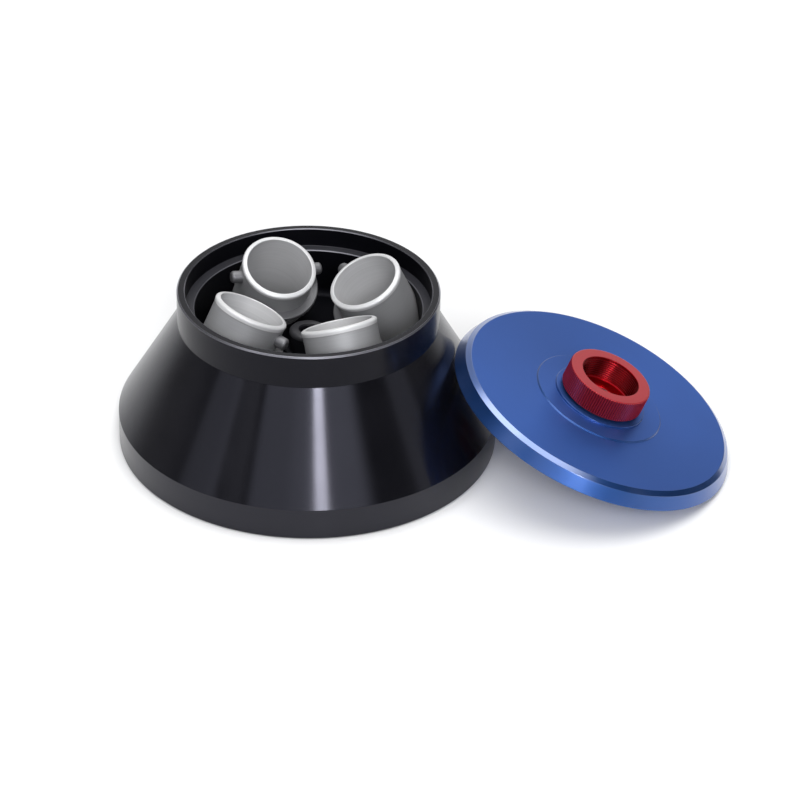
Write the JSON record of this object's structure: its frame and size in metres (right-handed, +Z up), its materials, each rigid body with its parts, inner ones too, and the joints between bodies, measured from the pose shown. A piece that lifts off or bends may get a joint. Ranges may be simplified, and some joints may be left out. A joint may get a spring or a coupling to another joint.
{
  "type": "fixed-angle centrifuge rotor",
  "caption": "Conical fixed-angle centrifuge rotor with removable tube sleeves standing in tilted bores, and its screw-down lid leaning against it.",
  "frame": {"origin": "under the middle of the whole set, on the surface that the rotor stands on", "axes": "+Z up along the rotor's axis; +X from the rotor towards the side where the lid leans"},
  "size_m": [0.3642, 0.226, 0.1059],
  "materials": {
    "black_anodised": "turned and black anodised, satin gloss",
    "machined_aluminium": "fine blasted aluminium with bright turned lips",
    "stainless_steel": "turned stainless steel",
    "dark_steel": "blackened steel",
    "black_rubber": "soft matt rubber",
    "blue_anodised": "satin blue anodised",
    "red_anodised": "satin red anodised",
    "nickel_magnet": "nickel plated",
    "black_plastic": "matt black plastic"
  },
  "bodies": {
    "rotor": {"rotor_body": "black_anodised", "drive_hub": "stainless_steel", "hub_screw_1": "stainless_steel", "hub_screw_2": "stainless_steel", "hub_screw_3": "stainless_steel", "hub_screw_4": "stainless_steel", "drive_pin_1": "stainless_steel", "drive_pin_2": "stainless_steel", "id_magnet_1": "nickel_magnet", "id_magnet_2": "nickel_magnet", "hold_down_washer": "dark_steel"},
    "hold_down": {"hold_down_screw": "dark_steel", "hold_down_ring": "stainless_steel"},
    "lifting_sleeve_1": {"sleeve_1": "machined_aluminium", "sleeve_cushion_1": "black_rubber"},
    "lifting_sleeve_2": {"sleeve_2": "machined_aluminium", "sleeve_cushion_2": "black_rubber"},
    "lifting_sleeve_3": {"sleeve_3": "machined_aluminium", "sleeve_cushion_3": "black_rubber"},
    "lifting_sleeve_4": {"sleeve_4": "machined_aluminium", "sleeve_cushion_4": "black_rubber"},
    "lid": {"lid_plate": "blue_anodised", "lid_seal": "black_rubber", "knob_washer": "black_plastic"},
    "knob": {"lid_knob": "red_anodised", "knob_retaining_ring": "stainless_steel", "lid_stud": "stainless_steel"}
  },
  "joints": [
    {"name": "hold_down_turn", "type": "hinge", "parent": "rotor", "child": "hold_down", "pos_m": [-0.06911, 0, 0.06], "axis": [0, 0, 1], "continuous": true},
    {"name": "sleeve_lift_1", "type": "slide", "parent": "rotor", "child": "lifting_sleeve_1", "axis": [-0.4016, -0.2117, 0.891], "range_m": [0, 0.036]},
    {"name": "sleeve_lift_2", "type": "slide", "parent": "rotor", "child": "lifting_sleeve_2", "axis": [-0.2117, 0.4016, -0.891], "range_m": [-0.036, 0]},
    {"name": "sleeve_lift_3", "type": "slide", "parent": "rotor", "child": "lifting_sleeve_3", "axis": [0.4016, 0.2117, 0.891], "range_m": [0, 0.036]},
    {"name": "sleeve_lift_4", "type": "slide", "parent": "rotor", "child": "lifting_sleeve_4", "axis": [0.2117, -0.4016, -0.891], "range_m": [-0.036, 0]},
    {"name": "lid_lift", "type": "slide", "parent": "rotor", "child": "lid", "axis": [0.3549, -0.0499, 0.9336], "range_m": [0, 0.15]},
    {"name": "knob_turn", "type": "hinge", "parent": "lid", "child": "knob", "pos_m": [0.09922, -0.02366, 0.03161], "axis": [0.3549, -0.0499, 0.9336], "continuous": true}
  ]
}
